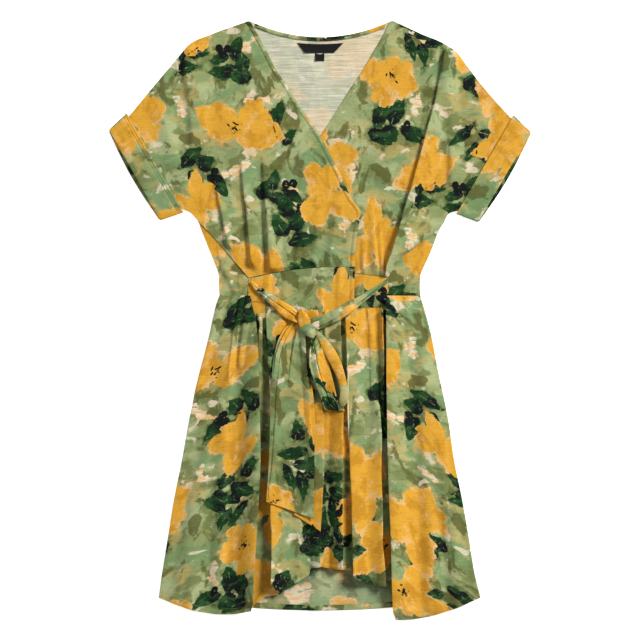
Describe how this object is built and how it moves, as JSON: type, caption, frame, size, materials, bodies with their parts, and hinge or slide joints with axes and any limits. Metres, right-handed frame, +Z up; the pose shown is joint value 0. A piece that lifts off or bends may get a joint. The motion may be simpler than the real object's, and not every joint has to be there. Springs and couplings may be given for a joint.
{
  "type": "wrap dress",
  "caption": "Short wrap dress laid flat: crossed V front, short sleeves with turned cuffs, gathered A-line skirt with a tulip hem, and a sash tied in a half bow.",
  "frame": {"origin": "on the surface that the dress lies on, under the middle of its outline", "axes": "+X towards the wearer's left sleeve, which is the viewer's right, +Y towards the neck, +Z up from the surface"},
  "size_m": [0.664, 0.943, 0.025],
  "materials": {
    "print_cloth": "matte linen-like viscose, painterly floral print",
    "print_wrong_side": "matte, the print showing through pale",
    "label_cloth": "black woven satin tape, bare"
  },
  "bodies": {
    "root": {"back_bodice": "print_cloth", "back_bodice_right_turn": "print_cloth", "back_bodice_left_turn": "print_cloth", "back_skirt": "print_cloth", "back_hem": "print_cloth", "back_neck_band": "print_cloth", "neck_label": "label_cloth", "size_tab": "label_cloth", "front_right_bodice": "print_cloth", "front_left_bodice": "print_cloth", "front_right_waistband": "print_cloth", "front_left_waistband": "print_cloth", "front_right_skirt": "print_cloth", "front_left_skirt": "print_cloth", "cuff_right": "print_cloth", "cuff_left": "print_cloth", "tie_right_strand": "print_cloth", "tie_left_strand": "print_cloth", "tie_right_tail": "print_cloth", "tie_left_tail": "print_cloth", "tie_loop": "print_cloth", "tie_knot": "print_cloth"}
  },
  "joints": []
}
